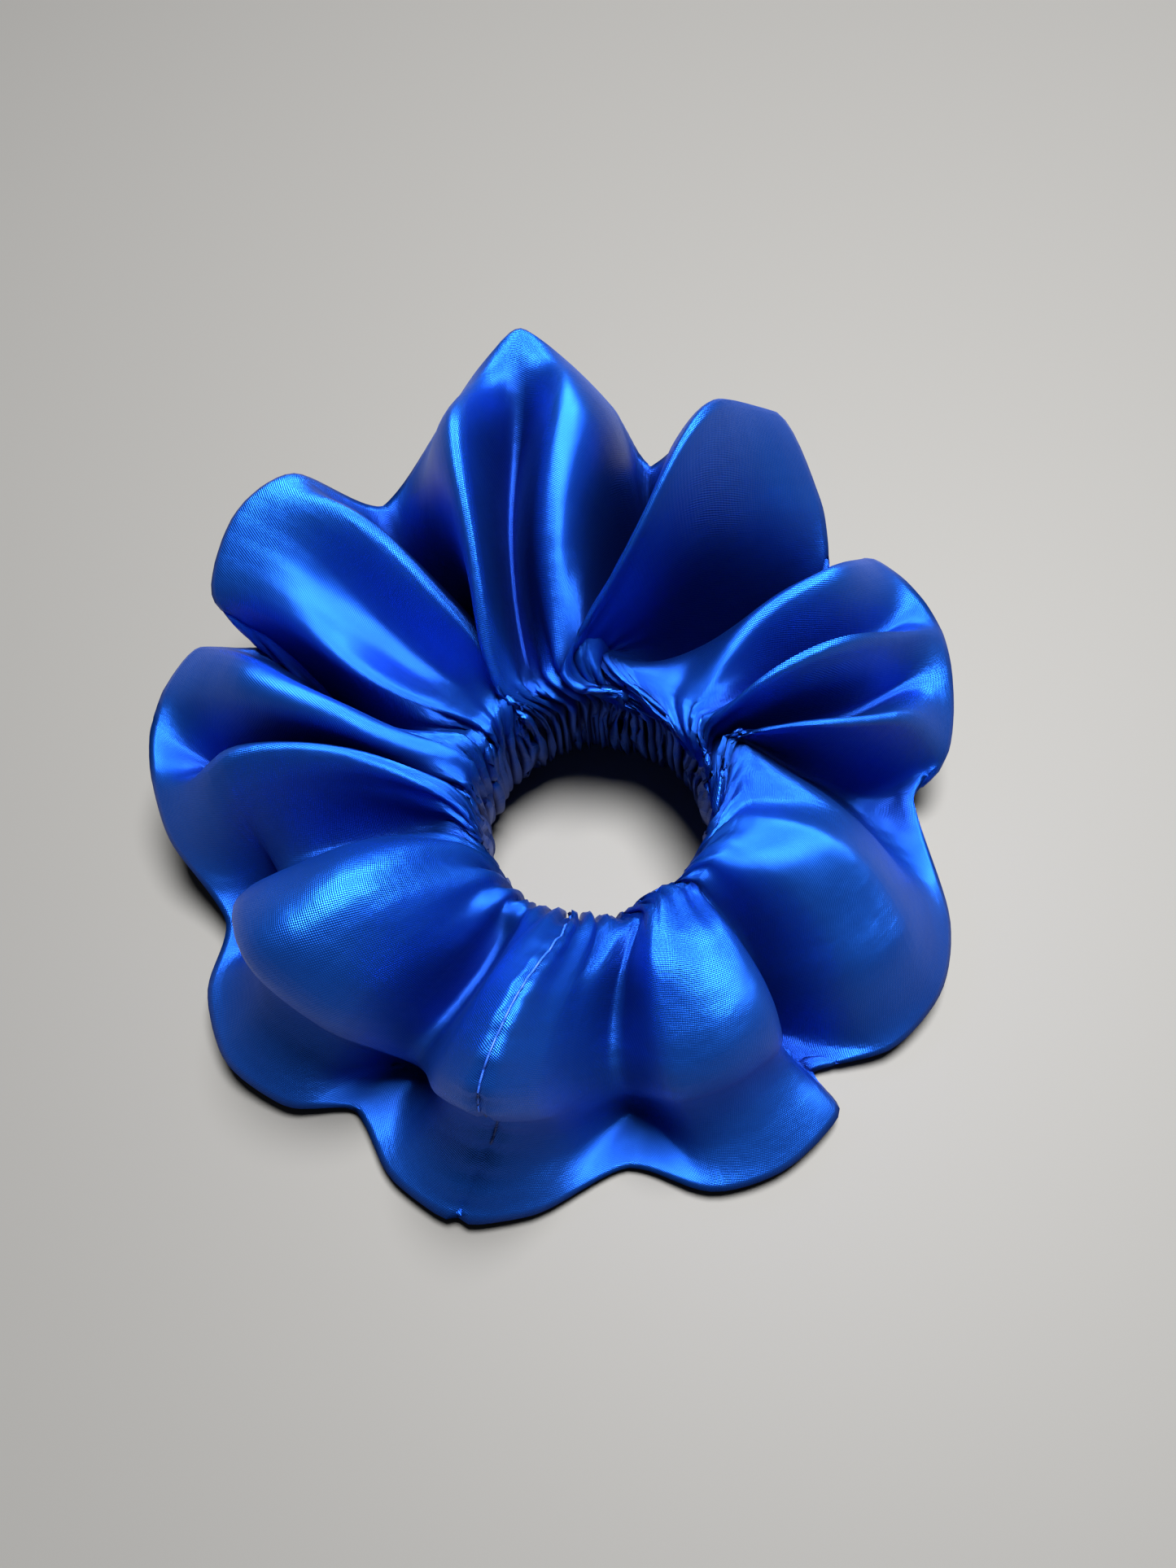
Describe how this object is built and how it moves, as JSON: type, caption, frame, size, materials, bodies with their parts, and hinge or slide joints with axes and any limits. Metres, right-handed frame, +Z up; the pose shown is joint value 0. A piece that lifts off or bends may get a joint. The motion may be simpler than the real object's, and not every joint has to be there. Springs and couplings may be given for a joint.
{
  "type": "scrunchie",
  "caption": "Large gathered satin hair scrunchie: a wide cloth tube ruffled on a hidden loop of flat elastic, which stretches to hold hair.",
  "frame": {"origin": "on the axis of the hair opening, at the level of the surface that the scrunchie lies on", "axes": "+Z up through the hair opening; -Y is the front, where the closing seam is; the loop stretches along Y"},
  "size_m": [0.1582, 0.1569, 0.0664],
  "materials": {
    "satin": "royal blue satin with a soft strong sheen",
    "elastic": "off-white braided flat elastic",
    "tack_thread": "off-white sewing thread",
    "seam_thread": "dark blue polyester sewing thread"
  },
  "bodies": {
    "held_side": {"satin_casing_front": "satin", "elastic_band": "elastic", "elastic_tack_needle_thread": "tack_thread", "elastic_tack_bobbin_thread": "tack_thread", "closing_seam_needle_thread": "seam_thread", "closing_seam_bobbin_thread": "seam_thread", "long_seam_needle_thread_front": "seam_thread", "long_seam_bobbin_thread_front": "seam_thread"},
    "pulled_side": {"satin_casing_back": "satin", "long_seam_needle_thread_back": "seam_thread", "long_seam_bobbin_thread_back": "seam_thread"}
  },
  "joints": [
    {"name": "stretch", "type": "slide", "parent": "held_side", "child": "pulled_side", "axis": [0, 1, 0], "range_m": [0, 0.06], "stiffness_N_per_m": 120, "deforming": ["elastic_band"]}
  ]
}
